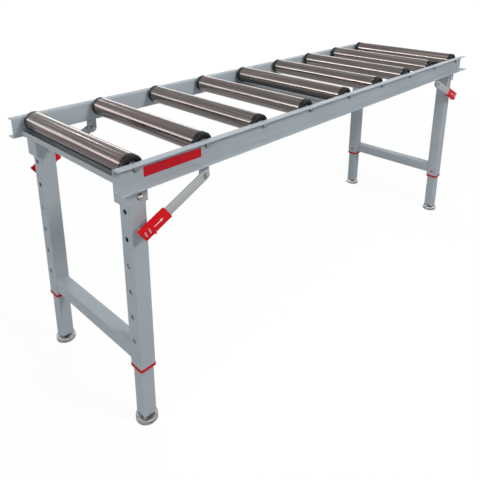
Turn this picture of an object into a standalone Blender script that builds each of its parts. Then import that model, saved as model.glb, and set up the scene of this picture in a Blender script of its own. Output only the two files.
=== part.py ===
# Folding roller stand: two channel rails carry nine free-turning rollers on fixed axles,
# and two folding leg frames with telescopic legs and levelling feet carry the rails.
# Metres, +Z up, +X along the rails (right), +Y away from the viewer (far).
# The origin is on the floor below the middle of the stand.

from math import cos, pi, radians, sin, tan

import bmesh
import bpy
from mathutils import Matrix, Vector

# Driving dimensions: rollers and axles
ROLLER_COUNT = 9
ROLLER_PITCH = 0.234
ROLLER_DIAMETER = 0.062
ROLLER_WALL = 0.002
CAP_WALL = 0.006
CAP_CHAMFER = 0.003
ROLLER_END_GAP = 0.0095
AXLE_DIAMETER = 0.012
AXLE_SPACER_DIAMETER = 0.017
AXLE_NUT_DIAMETER = 0.017
AXLE_NUT_HEIGHT = 0.006

# Driving dimensions: rails and ties
CLEAR_WIDTH = 0.552
RAIL_TOP = 0.821
RAIL_HEIGHT = 0.063
RAIL_SHEET = 0.003
RAIL_END_MARGIN = 0.064
TOP_FLANGE = 0.0265
BOTTOM_FLANGE = 0.037
AXLE_DROP = 0.016
TIE_INSET = 0.030
TIE_WIDTH = 0.070
MIDDLE_TIE_WIDTH = 0.130
TIE_LIP = 0.019
TIE_SHEET = 0.003

# Driving dimensions: hinge brackets and leg frames
HINGE_INSET = 0.078
HINGE_DROP = 0.036
HINGE_BOLT_DIAMETER = 0.010
HINGE_HEAD_DIAMETER = 0.017
HINGE_HEAD_HEIGHT = 0.009
HINGE_NUT_HEIGHT = 0.008
BRACKET_INSET = 0.006
BRACKET_LENGTH = 0.066
BRACKET_BELOW_HINGE = 0.018
BRACKET_SHEET = 0.003
LEG_TUBE = 0.050
LEG_WALL = 0.0025
LEG_SIDE_GAP = 0.0005
LEG_TO_WEB = 0.0105
LEG_OUT_OF_HINGE = 0.004
LEG_ABOVE_HINGE = 0.018
LEG_LENGTH = 0.542
CROSS_TUBE = 0.045
CROSS_ABOVE_BOTTOM = 0.012
VENT_DIAMETER = 0.008
HOLE_COUNT = 6
HOLE_PITCH = 0.079
HOLE_DIAMETER = 0.015
TOP_HOLE_BELOW_HINGE = 0.043
STUD_DIAMETER = 0.012
STUD_BELOW_BAR = 0.004

# Driving dimensions: telescopic legs, glide collars, buttons and feet
INNER_TUBE = 0.042
INNER_WALL = 0.002
INNER_BOTTOM = 0.0255
INNER_PLATE = 0.004
INNER_ABOVE_BUTTON = 0.028
BUTTON_HOLE_NUMBER = 3
BUTTON_DIAMETER = 0.013
BUTTON_SHOULDER_DIAMETER = 0.019
BUTTON_SHOULDER = 0.002
BUTTON_STEM_DIAMETER = 0.005
BUTTON_STEM = 0.008
COLLAR_HEIGHT = 0.0095
COLLAR_RIM = 0.0015
SLEEVE_HEIGHT = 0.035
LUG_WIDTH = 0.012
LUG_HEIGHT = 0.008
LUG_ABOVE_BOTTOM = 0.021
FOOT_DIAMETER = 0.065
FOOT_HEIGHT = 0.016
FOOT_CHAMFER = 0.002
FOOT_RIM = 0.004
FOOT_DISH = 0.005
FOOT_NECK_DIAMETER = 0.026
FOOT_STEM_DIAMETER = 0.014
FOOT_STEM_ABOVE_PLATE = 0.040

# Driving dimensions: braces
BRACE_PIVOT_INSET = 0.275
BRACE_PIVOT_DROP = 0.031
BRACE_ANGLE = radians(25)
BRACE_OUT = 0.016
BAR_WIDTH = 0.030
BAR_THICKNESS = 0.005
BAR_LENGTH = 0.234
GRIP_LENGTH = 0.092
GRIP_WIDTH = 0.038
GRIP_THICKNESS = 0.011
GRIP_CHAMFER = 0.0015
GRIP_SLANT = 0.008
GRIP_PAST_BAR = 0.005
RIB_WIDTH = 0.005
RIB_LENGTH = 0.018
RIB_HEIGHT = 0.002
TAB_LENGTH = 0.014
TAB_HEIGHT = 0.005
LUG_PLATE_SHEET = 0.004
LUG_PLATE_WIDTH = 0.034
PIVOT_BOLT_DIAMETER = 0.008
PIVOT_HEAD_DIAMETER = 0.014
PIVOT_HEAD_HEIGHT = 0.007

# Clearances and the overlap that joined shapes share
TOUCH = 0.0003
SLIP = 0.0003
TURN_GAP = 0.0005
WELD = 0.0010
STUD_GAP = 0.0004
SHARP_ANGLE = radians(35)
ROLLER_SIDES = 20
ROUND_SIDES = 12

# Places that follow from the driving dimensions
RAIL_LENGTH = (ROLLER_COUNT - 1) * ROLLER_PITCH + 2 * RAIL_END_MARGIN
RAIL_END = RAIL_LENGTH / 2
RAIL_BOTTOM = RAIL_TOP - RAIL_HEIGHT
WEB_INNER = CLEAR_WIDTH / 2
WEB_OUTER = WEB_INNER + RAIL_SHEET
AXLE_Z = RAIL_TOP - AXLE_DROP
ROLLER_END = WEB_INNER - ROLLER_END_GAP
TIE_END = RAIL_END - TIE_INSET
HINGE_X = RAIL_END - HINGE_INSET
HINGE_Z = RAIL_BOTTOM - HINGE_DROP
BRACKET_END = TIE_END - BRACKET_INSET
BRACKET_BOTTOM = HINGE_Z - BRACKET_BELOW_HINGE
LEG_X = HINGE_X + LEG_OUT_OF_HINGE
LEG_Y = WEB_INNER - LEG_TO_WEB - LEG_TUBE / 2
LEG_TOP = HINGE_Z + LEG_ABOVE_HINGE
LEG_BOTTOM = LEG_TOP - LEG_LENGTH
LEG_OUTER = LEG_Y + LEG_TUBE / 2
LEG_INNER = LEG_Y - LEG_TUBE / 2
CROSS_BOTTOM = LEG_BOTTOM + CROSS_ABOVE_BOTTOM
TOP_HOLE_Z = HINGE_Z - TOP_HOLE_BELOW_HINGE
BUTTON_Z = TOP_HOLE_Z - (BUTTON_HOLE_NUMBER - 1) * HOLE_PITCH
INNER_TOP = BUTTON_Z + INNER_ABOVE_BUTTON
COLLAR_TOP = LEG_BOTTOM - TOUCH
COLLAR_BOTTOM = COLLAR_TOP - COLLAR_HEIGHT
LUG_Z = LEG_BOTTOM + LUG_ABOVE_BOTTOM
PIVOT_X = RAIL_END - BRACE_PIVOT_INSET
PIVOT_Z = RAIL_BOTTOM - BRACE_PIVOT_DROP
BAR_Y = WEB_OUTER + BRACE_OUT
BAR_INNER = BAR_Y - BAR_THICKNESS / 2
BAR_OUTER = BAR_Y + BAR_THICKNESS / 2
LUG_PLATE_OUTER = BAR_INNER - TURN_GAP
LUG_PLATE_INNER = LUG_PLATE_OUTER - LUG_PLATE_SHEET
GRIP_INNER = BAR_Y - GRIP_THICKNESS / 2
STUD_Z = PIVOT_Z - (LEG_X - PIVOT_X) * tan(BRACE_ANGLE) - STUD_BELOW_BAR

JOIN = "UNION"
CUT = "DIFFERENCE"
ENDS = (("left", -1), ("right", 1))
SIDES = (("near", -1), ("far", 1))
CORNERS = [(f"{side}_{end}", x, y) for end, x in ENDS for side, y in SIDES]

# The bar's own frame: x runs from the pivot down along the bar, y outwards, z up across it
BAR_FRAME = Matrix.Translation((PIVOT_X, BAR_Y, PIVOT_Z)) @ Matrix.Rotation(BRACE_ANGLE, 4, "Y")

# Turns a shape made along Z so that it lies along Y or X
ALONG_Y = Matrix.Rotation(-pi / 2, 4, "X")
ALONG_X = Matrix.Rotation(pi / 2, 4, "Y")

# An outline in x and z that is drawn out along y, and one in y and z that is drawn out along x
UPRIGHT = Matrix(((1, 0, 0, 0), (0, 0, 1, 0), (0, 1, 0, 0), (0, 0, 0, 1)))
LENGTHWISE = Matrix(((0, 0, 1, 0), (1, 0, 0, 0), (0, 1, 0, 0), (0, 0, 0, 1)))


def clear_scene():
    for thing in list(bpy.data.objects):
        bpy.data.objects.remove(thing)


def finish(name, colour, roughness, metallic):
    material = bpy.data.materials.new(name)
    material.use_nodes = True
    shader = material.node_tree.nodes["Principled BSDF"]
    shader.inputs["Base Color"].default_value = (*colour, 1)
    shader.inputs["Roughness"].default_value = roughness
    shader.inputs["Metallic"].default_value = metallic
    material.diffuse_color = (*colour, 1)
    return material


def solid(work, name="piece"):
    bmesh.ops.recalc_face_normals(work, faces=work.faces)
    mesh = bpy.data.meshes.new(name)
    work.to_mesh(mesh)
    work.free()
    thing = bpy.data.objects.new(name, mesh)
    bpy.context.scene.collection.objects.link(thing)
    return thing


def block(low, high):
    work = bmesh.new()
    low, high = Vector(low), Vector(high)
    size = Matrix.Diagonal((*(high - low), 1))
    bmesh.ops.create_cube(work, size=1, matrix=Matrix.Translation((low + high) / 2) @ size)
    return solid(work)


def rod(diameter, start, end, turn, across=(0, 0, 0), sides=ROUND_SIDES):
    work = bmesh.new()
    lift = Matrix.Translation((0, 0, (start + end) / 2))
    bmesh.ops.create_cone(
        work, cap_ends=True, segments=sides, radius1=diameter / 2, radius2=diameter / 2,
        depth=end - start, matrix=Matrix.Translation(across) @ turn @ lift)
    return solid(work)


def turned(profile, turn, centre, sides):
    # The profile is a closed outline of radius and height, or one that starts and ends on the axis.
    work = bmesh.new()
    points = [work.verts.new((radius, 0, height)) for radius, height in profile]
    lines = [work.edges.new(pair) for pair in zip(points, points[1:])]
    if profile[0][0] > 0:
        lines.append(work.edges.new((points[-1], points[0])))
    bmesh.ops.spin(
        work, geom=points + lines, cent=(0, 0, 0), axis=(0, 0, 1), angle=2 * pi, steps=sides,
        use_merge=True)
    bmesh.ops.remove_doubles(work, verts=work.verts, dist=1e-6)
    bmesh.ops.transform(work, matrix=Matrix.Translation(centre) @ turn, verts=work.verts)
    return solid(work)


def drawn(outline, start, end, frame):
    # An outline in the frame's x and y, drawn out along its z.
    work = bmesh.new()
    face = work.faces.new([work.verts.new((x, y, start)) for x, y in outline])
    grown = bmesh.ops.extrude_face_region(work, geom=[face])["geom"]
    moved = [part for part in grown if isinstance(part, bmesh.types.BMVert)]
    bmesh.ops.translate(work, verts=moved, vec=(0, 0, end - start))
    bmesh.ops.transform(work, matrix=frame, verts=work.verts)
    return solid(work)


def gathered(tools):
    # Puts shapes that stand clear of each other into one object.
    work = bmesh.new()
    for tool in tools:
        work.from_mesh(tool.data)
        bpy.data.objects.remove(tool)
    return solid(work)


def shaped(body, *steps):
    # Each step is an operation and its tools, which stand clear of each other.
    made = []
    for operation, tools in steps:
        step = body.modifiers.new(operation.lower(), "BOOLEAN")
        step.operation = operation
        step.object = gathered(tools)
        made.append(step.object)
    bpy.context.view_layer.update()
    graph = bpy.context.evaluated_depsgraph_get()
    mesh = bpy.data.meshes.new_from_object(body.evaluated_get(graph))
    body.modifiers.clear()
    body.data = mesh
    for tool in made:
        bpy.data.objects.remove(tool)
    return body


def place(thing, name, material, x=1, y=1, origin=(0, 0, 0)):
    # Names a piece, mirrors it into its corner and puts its origin on its joint's axis.
    centre = Vector((origin[0] * x, origin[1] * y, origin[2]))
    mesh = thing.data
    mesh.transform(Matrix.Translation(-centre) @ Matrix.Diagonal((x, y, 1, 1)))
    if x * y < 0:
        mesh.flip_normals()
    mesh.materials.clear()
    mesh.materials.append(material)
    mesh.shade_smooth()
    mesh.set_sharp_from_angle(angle=SHARP_ANGLE)
    thing.location = centre
    thing.name = name
    mesh.name = name
    return thing


def roller_places():
    first = -(ROLLER_COUNT - 1) * ROLLER_PITCH / 2
    return [first + number * ROLLER_PITCH for number in range(ROLLER_COUNT)]


def bar_block(low, high):
    # A block in the bar's own frame.
    thing = block(low, high)
    thing.data.transform(BAR_FRAME)
    return thing


def side_rail():
    # Channel with its web towards the rollers, the axle holes, and two brace lugs welded below.
    outline = [
        (WEB_INNER, RAIL_BOTTOM),
        (WEB_INNER + BOTTOM_FLANGE, RAIL_BOTTOM),
        (WEB_INNER + BOTTOM_FLANGE, RAIL_BOTTOM + RAIL_SHEET),
        (WEB_OUTER, RAIL_BOTTOM + RAIL_SHEET),
        (WEB_OUTER, RAIL_TOP - RAIL_SHEET),
        (WEB_INNER + TOP_FLANGE, RAIL_TOP - RAIL_SHEET),
        (WEB_INNER + TOP_FLANGE, RAIL_TOP),
        (WEB_INNER, RAIL_TOP),
    ]
    rail = drawn(outline, -RAIL_END, RAIL_END, LENGTHWISE)
    lugs = [brace_lug(x) for _, x in ENDS]
    holes = [
        rod(AXLE_DIAMETER + 2 * SLIP, WEB_INNER - WELD, WEB_OUTER + WELD, ALONG_Y, (x, 0, AXLE_Z))
        for x in roller_places()
    ]
    return shaped(rail, (JOIN, lugs), (CUT, holes))


def brace_lug(x):
    half = LUG_PLATE_WIDTH / 2
    top = RAIL_BOTTOM + WELD
    steps = 6
    turns = [pi + pi * step / steps for step in range(steps + 1)]
    outline = [(PIVOT_X + half, top), (PIVOT_X - half, top)]
    outline += [(PIVOT_X + half * cos(turn), PIVOT_Z + half * sin(turn)) for turn in turns]
    plate = drawn(outline, LUG_PLATE_INNER, LUG_PLATE_OUTER, UPRIGHT)
    bore = rod(
        PIVOT_BOLT_DIAMETER + 2 * SLIP, LUG_PLATE_INNER - WELD, LUG_PLATE_OUTER + WELD,
        ALONG_Y, (PIVOT_X, 0, PIVOT_Z))
    lug = shaped(plate, (CUT, [bore]))
    lug.data.transform(Matrix.Diagonal((x, 1, 1, 1)))
    if x < 0:
        lug.data.flip_normals()
    return lug


def tie_channel(inner_x, outer_x):
    # Channel between the rail webs, open at the top, with both lips clear of the roller above.
    outline = [
        (inner_x, RAIL_BOTTOM),
        (outer_x, RAIL_BOTTOM),
        (outer_x, RAIL_BOTTOM + TIE_LIP),
        (outer_x - TIE_SHEET, RAIL_BOTTOM + TIE_LIP),
        (outer_x - TIE_SHEET, RAIL_BOTTOM + TIE_SHEET),
        (inner_x + TIE_SHEET, RAIL_BOTTOM + TIE_SHEET),
        (inner_x + TIE_SHEET, RAIL_BOTTOM + TIE_LIP),
        (inner_x, RAIL_BOTTOM + TIE_LIP),
    ]
    reach = WEB_INNER - TOUCH
    return drawn(outline, -reach, reach, UPRIGHT)


def hinge_bracket(side):
    # Bent plate below the tie: an outer end web and two ears that hold the hinge bolt.
    half = LEG_TUBE / 2 + LEG_SIDE_GAP
    low = (BRACKET_END - BRACKET_LENGTH, LEG_Y - half - BRACKET_SHEET, BRACKET_BOTTOM)
    high = (BRACKET_END, LEG_Y + half + BRACKET_SHEET, RAIL_BOTTOM + WELD)
    room_low = (low[0] - WELD, LEG_Y - half, low[2] - WELD)
    room_high = (BRACKET_END - BRACKET_SHEET, LEG_Y + half, high[2] + WELD)
    bore = rod(
        HINGE_BOLT_DIAMETER + 2 * SLIP, low[1] - WELD, high[1] + WELD, ALONG_Y,
        (HINGE_X, 0, HINGE_Z))
    room = block(room_low, room_high)
    bracket = shaped(block(low, high), (CUT, [room]), (CUT, [bore]))
    bracket.data.transform(Matrix.Diagonal((1, side, 1, 1)))
    if side < 0:
        bracket.data.flip_normals()
    return bracket


def end_tie():
    channel = tie_channel(TIE_END - TIE_WIDTH, TIE_END)
    return shaped(channel, (JOIN, [hinge_bracket(side) for _, side in SIDES]))


def middle_tie():
    return tie_channel(-MIDDLE_TIE_WIDTH / 2, MIDDLE_TIE_WIDTH / 2)


def roller(x):
    # Steel tube with a pressed-in cap at each end, hollow between the caps.
    radius = ROLLER_DIAMETER / 2
    bore = AXLE_DIAMETER / 2 + TURN_GAP
    hollow = radius - ROLLER_WALL
    inner_end = ROLLER_END - CAP_WALL
    half = [(bore, inner_end), (bore, ROLLER_END), (radius - CAP_CHAMFER, ROLLER_END)]
    half += [(radius, ROLLER_END - CAP_CHAMFER)]
    other = [(r, -y) for r, y in reversed(half)]
    profile = half + other + [(hollow, -inner_end), (hollow, inner_end)]
    return turned(profile, ALONG_Y, (x, 0, AXLE_Z), ROLLER_SIDES)


def roller_axle(x):
    # Rod held in both webs, with a spacer between each cap and web and a nut outside.
    across = (x, 0, AXLE_Z)
    nut_start = WEB_OUTER + TOUCH
    nut_end = nut_start + AXLE_NUT_HEIGHT
    spacer_start = ROLLER_END + TURN_GAP
    spacer_end = WEB_INNER - TOUCH
    core = rod(AXLE_DIAMETER, -nut_end + WELD, nut_end - WELD, ALONG_Y, across)
    fittings = []
    for _, side in SIDES:
        for diameter, start, end, sides in (
            (AXLE_NUT_DIAMETER, nut_start, nut_end, 6),
            (AXLE_SPACER_DIAMETER, spacer_start, spacer_end, ROUND_SIDES),
        ):
            span = sorted((side * start, side * end))
            fittings.append(rod(diameter, *span, ALONG_Y, across, sides))
    return shaped(core, (JOIN, fittings))


def leg_frame():
    # Welded frame: two upright tubes, the cross tube between them and a brace stud on each side.
    half = LEG_TUBE / 2
    room = half - LEG_WALL
    cross = CROSS_TUBE / 2
    hollow = cross - LEG_WALL
    middle_z = CROSS_BOTTOM + cross
    bar = block(
        (LEG_X - cross, -LEG_INNER - WELD, CROSS_BOTTOM),
        (LEG_X + cross, LEG_INNER + WELD, CROSS_BOTTOM + CROSS_TUBE))
    tubes, studs, rooms, bores = [], [], [], []
    rooms.append(block(
        (LEG_X - hollow, -LEG_INNER - WELD / 2, middle_z - hollow),
        (LEG_X + hollow, LEG_INNER + WELD / 2, middle_z + hollow)))
    for _, side in SIDES:
        y = side * LEG_Y
        tubes.append(block((LEG_X - half, y - half, LEG_BOTTOM), (LEG_X + half, y + half, LEG_TOP)))
        stud = sorted((side * (LEG_OUTER - WELD), side * (GRIP_INNER - STUD_GAP)))
        studs.append(rod(STUD_DIAMETER, *stud, ALONG_Y, (LEG_X, 0, STUD_Z)))
        rooms.append(block(
            (LEG_X - room, y - room, LEG_BOTTOM - WELD), (LEG_X + room, y + room, LEG_TOP + WELD)))
        bores.append(rod(
            HINGE_BOLT_DIAMETER + 2 * SLIP, y - half - WELD, y + half + WELD, ALONG_Y,
            (HINGE_X, 0, HINGE_Z)))
        for number in range(HOLE_COUNT):
            height = TOP_HOLE_Z - number * HOLE_PITCH
            bores.append(rod(
                HOLE_DIAMETER, LEG_X + room - WELD, LEG_X + half + WELD, ALONG_X, (0, y, height)))
        window = LUG_WIDTH / 2 + TOUCH
        bores.append(block(
            (LEG_X - half - WELD, y - window, LUG_Z - LUG_HEIGHT / 2 - TOUCH),
            (LEG_X - room + WELD, y + window, LUG_Z + LUG_HEIGHT / 2 + TOUCH)))
        vent_y = side * (LEG_INNER - CROSS_TUBE)
        bores.append(rod(
            VENT_DIAMETER, CROSS_BOTTOM - WELD, CROSS_BOTTOM + LEG_WALL + WELD, Matrix(),
            (LEG_X, vent_y, 0)))
    return shaped(bar, (JOIN, tubes), (JOIN, studs), (CUT, rooms), (CUT, bores))


def hinge_bolt():
    # Shank with a domed head outside the bracket, and a nut inside it.
    ear = LEG_TUBE / 2 + LEG_SIDE_GAP + BRACKET_SHEET + TOUCH
    across = (HINGE_X, 0, HINGE_Z)
    start = LEG_Y - ear
    seat = LEG_Y + ear
    radius = HINGE_HEAD_DIAMETER / 2
    shank = HINGE_BOLT_DIAMETER / 2
    steps = 3
    profile = [(0, start - WELD), (shank, start - WELD), (shank, seat), (radius, seat)]
    for step in range(1, steps):
        turn = pi / 2 * step / steps
        profile.append((radius * cos(turn), seat + HINGE_HEAD_HEIGHT * sin(turn)))
    profile.append((0, seat + HINGE_HEAD_HEIGHT))
    bolt = turned(profile, ALONG_Y, across, ROUND_SIDES)
    nut = rod(HINGE_HEAD_DIAMETER, start - HINGE_NUT_HEIGHT, start, ALONG_Y, across, 6)
    return shaped(bolt, (JOIN, [nut]))


def glide_collar():
    # Rim below the outer tube, sleeve inside it, and a snap lug in the window of its inner face.
    rim = LEG_TUBE / 2 + COLLAR_RIM
    bore = INNER_TUBE / 2 + SLIP
    sleeve = LEG_TUBE / 2 - LEG_WALL - TOUCH
    ring = block(
        (LEG_X - rim, LEG_Y - rim, COLLAR_BOTTOM), (LEG_X + rim, LEG_Y + rim, COLLAR_TOP))
    tube = block(
        (LEG_X - sleeve, LEG_Y - sleeve, COLLAR_TOP - WELD),
        (LEG_X + sleeve, LEG_Y + sleeve, COLLAR_TOP + SLEEVE_HEIGHT))
    lug = block(
        (LEG_X - LEG_TUBE / 2, LEG_Y - LUG_WIDTH / 2, LUG_Z - LUG_HEIGHT / 2),
        (LEG_X, LEG_Y + LUG_WIDTH / 2, LUG_Z + LUG_HEIGHT / 2))
    room = block(
        (LEG_X - bore, LEG_Y - bore, COLLAR_BOTTOM - WELD),
        (LEG_X + bore, LEG_Y + bore, COLLAR_TOP + SLEEVE_HEIGHT + WELD))
    return shaped(ring, (JOIN, [tube]), (JOIN, [lug]), (CUT, [room]))


def inner_leg():
    # Telescopic tube with an end plate that takes the foot's stem, and the button's hole.
    half = INNER_TUBE / 2
    room = half - INNER_WALL
    tube = block((LEG_X - half, LEG_Y - half, INNER_BOTTOM), (LEG_X + half, LEG_Y + half, INNER_TOP))
    hollow = block(
        (LEG_X - room, LEG_Y - room, INNER_BOTTOM + INNER_PLATE),
        (LEG_X + room, LEG_Y + room, INNER_TOP + WELD))
    stem = rod(
        FOOT_STEM_DIAMETER + 2 * SLIP, INNER_BOTTOM - WELD, INNER_BOTTOM + INNER_PLATE + WELD,
        Matrix(), (LEG_X, LEG_Y, 0))
    button = rod(
        BUTTON_DIAMETER + 2 * SLIP, LEG_X + room - WELD, LEG_X + half + WELD, ALONG_X,
        (0, LEG_Y, BUTTON_Z))
    return shaped(tube, (CUT, [hollow]), (CUT, [stem, button]))


def spring_button():
    # Head in the inner tube's hole, with a shoulder behind the wall and a stem for its spring.
    wall = LEG_X + INNER_TUBE / 2 - INNER_WALL
    tip = LEG_X + LEG_TUBE / 2 - LEG_WALL - TOUCH
    back = wall - TOUCH - BUTTON_SHOULDER
    profile = [
        (0, back - BUTTON_STEM),
        (BUTTON_STEM_DIAMETER / 2, back - BUTTON_STEM),
        (BUTTON_STEM_DIAMETER / 2, back),
        (BUTTON_SHOULDER_DIAMETER / 2, back),
        (BUTTON_SHOULDER_DIAMETER / 2, wall - TOUCH),
        (BUTTON_DIAMETER / 2, wall - TOUCH),
        (BUTTON_DIAMETER / 2, tip - BUTTON_STEM_DIAMETER / 5),
        (BUTTON_DIAMETER / 4, tip),
        (0, tip),
    ]
    return turned(profile, ALONG_X, (0, LEG_Y, BUTTON_Z), ROUND_SIDES)


def levelling_foot():
    # Dished disc with a raised rim, a neck below the leg's end plate and a stem through it.
    radius = FOOT_DIAMETER / 2
    dish = FOOT_HEIGHT - FOOT_DISH
    neck = FOOT_NECK_DIAMETER / 2
    stem = FOOT_STEM_DIAMETER / 2
    profile = [
        (0, 0),
        (radius - FOOT_CHAMFER, 0),
        (radius, FOOT_CHAMFER),
        (radius, FOOT_HEIGHT),
        (radius - FOOT_RIM, FOOT_HEIGHT),
        (radius - 2 * FOOT_RIM, dish),
        (neck, dish),
        (neck, INNER_BOTTOM - TOUCH),
        (stem, INNER_BOTTOM - TOUCH),
        (stem, INNER_BOTTOM + INNER_PLATE + FOOT_STEM_ABOVE_PLATE),
        (0, INNER_BOTTOM + INNER_PLATE + FOOT_STEM_ABOVE_PLATE),
    ]
    return turned(profile, Matrix(), (LEG_X, LEG_Y, 0), ROLLER_SIDES)


def brace_bar():
    # Flat bar with a round upper end on the pivot bolt.
    half = BAR_WIDTH / 2
    steps = 8
    turns = [pi / 2 + pi * step / steps for step in range(steps + 1)]
    outline = [(half * cos(turn), half * sin(turn)) for turn in turns]
    outline += [(BAR_LENGTH, -half), (BAR_LENGTH, half)]
    bar = drawn(outline, -BAR_THICKNESS / 2, BAR_THICKNESS / 2, BAR_FRAME @ UPRIGHT)
    bore = rod(
        PIVOT_BOLT_DIAMETER + 2 * SLIP, BAR_INNER - WELD, BAR_OUTER + WELD, ALONG_Y,
        (PIVOT_X, 0, PIVOT_Z))
    return shaped(bar, (CUT, [bore]))


def brace_grip():
    # Sleeve with slanted ends round the bar's lower end, two ribs on its outer face and a tab below.
    end = BAR_LENGTH + GRIP_PAST_BAR
    start = end - GRIP_LENGTH
    half = GRIP_WIDTH / 2
    thick = GRIP_THICKNESS / 2
    outline = [
        (thick - GRIP_CHAMFER, -half), (-thick, -half), (-thick, half),
        (thick - GRIP_CHAMFER, half), (thick, half - GRIP_CHAMFER), (thick, GRIP_CHAMFER - half),
    ]
    slant = Matrix()
    slant[0][2] = GRIP_SLANT / GRIP_WIDTH
    sleeve = drawn(outline, start, end, BAR_FRAME @ slant @ LENGTHWISE)
    room = bar_block(
        (start - GRIP_SLANT, -BAR_THICKNESS / 2 - SLIP, -BAR_WIDTH / 2 - SLIP),
        (end + GRIP_SLANT, BAR_THICKNESS / 2 + SLIP, BAR_WIDTH / 2 + SLIP))
    ribs = []
    for number in (1, 2):
        rib_end = end - 2 * number * RIB_WIDTH
        ribs.append(bar_block(
            (rib_end - RIB_WIDTH, thick - WELD, -RIB_LENGTH / 2),
            (rib_end, thick + RIB_HEIGHT, RIB_LENGTH / 2)))
    tab_end = end - GRIP_LENGTH / 4
    tab = bar_block(
        (tab_end - TAB_LENGTH, -thick / 2, -half - TAB_HEIGHT), (tab_end, thick / 2, WELD - half))
    return shaped(sleeve, (JOIN, [*ribs, tab]), (CUT, [room]))


def brace_pivot_bolt():
    across = (PIVOT_X, 0, PIVOT_Z)
    head_start = BAR_OUTER + TURN_GAP
    nut_end = LUG_PLATE_INNER - TOUCH
    shank = rod(PIVOT_BOLT_DIAMETER, nut_end - WELD, head_start + WELD, ALONG_Y, across)
    head = rod(
        PIVOT_HEAD_DIAMETER, head_start, head_start + PIVOT_HEAD_HEIGHT, ALONG_Y, across, 6)
    nut = rod(PIVOT_HEAD_DIAMETER, nut_end - PIVOT_HEAD_HEIGHT, nut_end, ALONG_Y, across, 6)
    return shaped(shank, (JOIN, [head, nut]))


def build_bed(paint, zinc, steel):
    for side, y in SIDES:
        place(side_rail(), f"{side}_side_rail", paint, 1, y)
    for end, x in ENDS:
        place(end_tie(), f"{end}_end_tie", paint, x)
    place(middle_tie(), "middle_tie", paint)
    for number, x in enumerate(roller_places(), 1):
        axis = (x, 0, AXLE_Z)
        place(roller(x), f"roller_{number}", steel, origin=axis)
        place(roller_axle(x), f"roller_axle_{number}", zinc, origin=axis)


def build_legs(paint, zinc, red):
    hinge = (HINGE_X, 0, HINGE_Z)
    leg_axis = (LEG_X, LEG_Y, 0)
    for end, x in ENDS:
        place(leg_frame(), f"{end}_leg_frame", paint, x, origin=hinge)
    for corner, x, y in CORNERS:
        place(hinge_bolt(), f"{corner}_hinge_bolt", zinc, x, y)
        place(glide_collar(), f"{corner}_glide_collar", red, x, y)
        place(inner_leg(), f"{corner}_inner_leg", paint, x, y, leg_axis)
        place(spring_button(), f"{corner}_spring_button", zinc, x, y, (LEG_X, LEG_Y, BUTTON_Z))
        place(levelling_foot(), f"{corner}_levelling_foot", zinc, x, y, leg_axis)


def build_braces(bar_grey, zinc, red):
    pivot = (PIVOT_X, BAR_Y, PIVOT_Z)
    for corner, x, y in CORNERS:
        place(brace_bar(), f"{corner}_brace_bar", bar_grey, x, y, pivot)
        place(brace_grip(), f"{corner}_brace_grip", red, x, y, pivot)
        place(brace_pivot_bolt(), f"{corner}_brace_pivot_bolt", zinc, x, y)


def main():
    clear_scene()
    paint = finish("grey_paint", (0.33, 0.37, 0.40), 0.45, 0.0)
    bar_grey = finish("brace_grey", (0.39, 0.40, 0.41), 0.45, 0.2)
    zinc = finish("bright_zinc", (0.60, 0.60, 0.61), 0.28, 1.0)
    steel = finish("roller_steel", (0.36, 0.33, 0.32), 0.30, 1.0)
    red = finish("red_plastic", (0.56, 0.006, 0.012), 0.40, 0.0)
    build_bed(paint, zinc, steel)
    build_legs(paint, zinc, red)
    build_braces(bar_grey, zinc, red)


main()
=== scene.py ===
from math import atan2, cos, pi, radians, sin, tan

import bmesh
import bpy
from mathutils import Matrix, Vector


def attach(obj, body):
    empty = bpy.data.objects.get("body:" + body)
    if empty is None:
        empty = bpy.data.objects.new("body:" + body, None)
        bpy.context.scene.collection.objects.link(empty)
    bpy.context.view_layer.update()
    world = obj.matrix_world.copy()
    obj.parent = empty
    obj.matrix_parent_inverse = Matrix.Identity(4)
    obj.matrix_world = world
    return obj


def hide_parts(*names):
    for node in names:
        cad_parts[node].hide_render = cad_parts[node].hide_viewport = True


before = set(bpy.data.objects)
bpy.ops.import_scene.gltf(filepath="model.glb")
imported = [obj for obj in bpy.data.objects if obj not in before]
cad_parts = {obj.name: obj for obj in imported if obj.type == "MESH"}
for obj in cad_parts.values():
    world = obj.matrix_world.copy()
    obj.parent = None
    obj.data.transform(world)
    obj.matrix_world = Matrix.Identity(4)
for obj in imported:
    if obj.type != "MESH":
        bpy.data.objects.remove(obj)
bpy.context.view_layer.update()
ends = {"left": -1, "right": 1}
sides = {"near": -1, "far": 1}
corners = {f"{side}_{end}": (x, y) for end, x in ends.items() for side, y in sides.items()}
rollerPitch = 0.234
rollerPlaces = {number: (number - 5) * rollerPitch for number in range(1, 10)}
cutPast = 0.002  # cutters reach this far past the faces that they cut
cutDeep = 0.005  # and this far in, where they cut one wall only
letIn = 0.0005  # welded plates are let in this far
mergeGap = 1e-6  # points closer than this become one
roundSides = 32  # of bores and small turned pieces
alongY = Matrix.Rotation(-pi / 2, 4, "X")
alongX = Matrix.Rotation(pi / 2, 4, "Y")
# outlines in x and z are drawn out along y, and outlines in y and z along x
uprightXZ = Matrix(((1, 0, 0, 0), (0, 0, 1, 0), (0, 1, 0, 0), (0, 0, 0, 1)))
lengthwiseYZ = Matrix(((0, 0, 1, 0), (1, 0, 0, 0), (0, 1, 0, 0), (0, 0, 0, 1)))


def pick(values, names):
    return [values[name] for name in names.split()]


def nodeMaths(operation, swapped=False):
    # an operator that adds a Math node
    def apply(self, other):
        first, second = (other, self) if swapped else (self, other)
        return self.board.add("ShaderNodeMath", {0: first, 1: second}, operation=operation)
    return apply


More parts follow.
